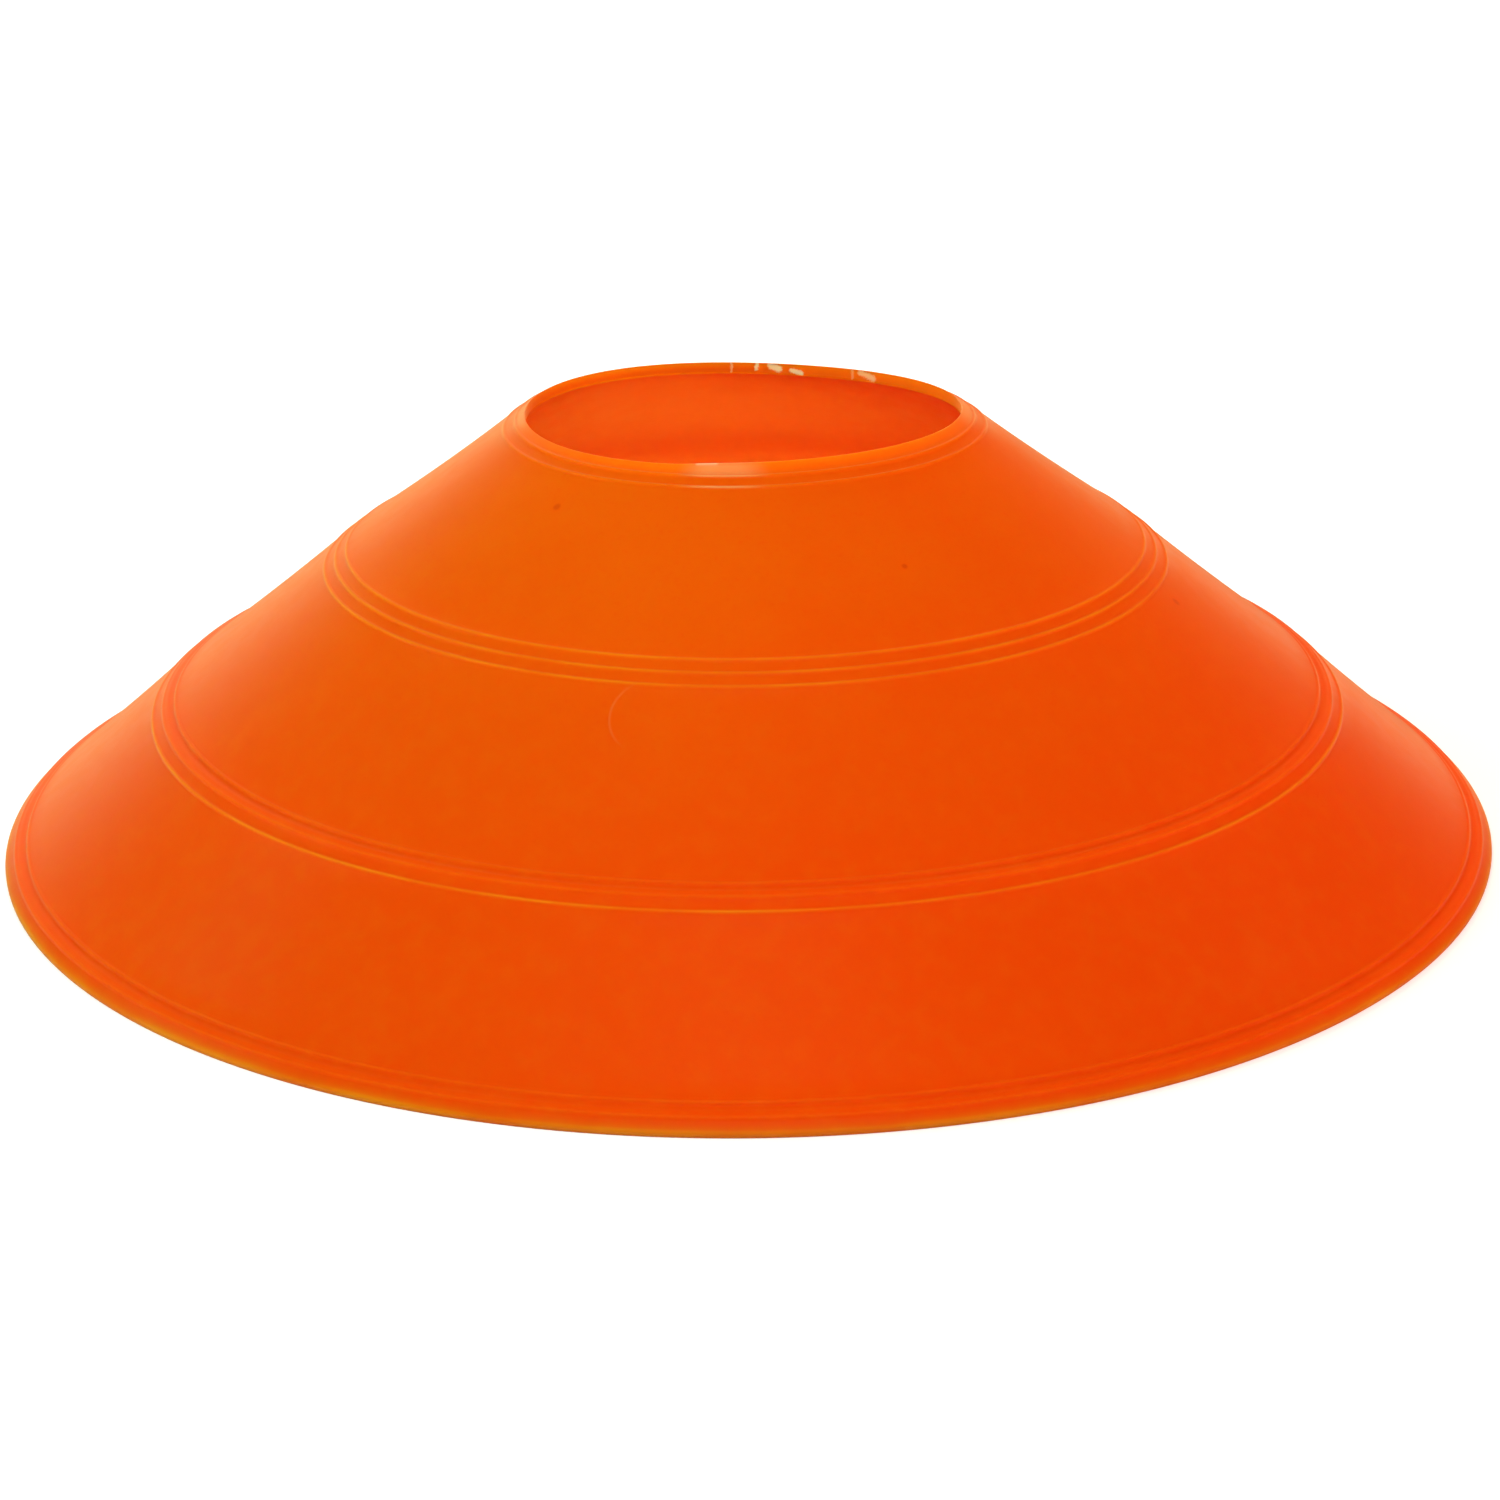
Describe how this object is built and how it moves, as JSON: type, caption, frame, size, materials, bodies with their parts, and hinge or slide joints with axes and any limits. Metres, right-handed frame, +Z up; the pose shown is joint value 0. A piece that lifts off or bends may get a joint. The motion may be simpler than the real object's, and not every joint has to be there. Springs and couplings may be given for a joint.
{
  "type": "sports marker cone",
  "caption": "Low disc-shaped sports marker cone: a hollow soft-plastic moulding with fine beaded bands, open underneath, with a round hole at the top.",
  "frame": {"origin": "centre of the base, in the plane of the ground that the cone stands on", "axes": "+Z up along the cone's axis; the cone is the same all the way round, and the picture looks along +Y"},
  "size_m": [0.1904, 0.1904, 0.0524],
  "materials": {
    "cone_plastic": "soft satin polyethylene in fluorescent orange"
  },
  "bodies": {
    "root": {"marker_cone": "cone_plastic"}
  },
  "joints": []
}
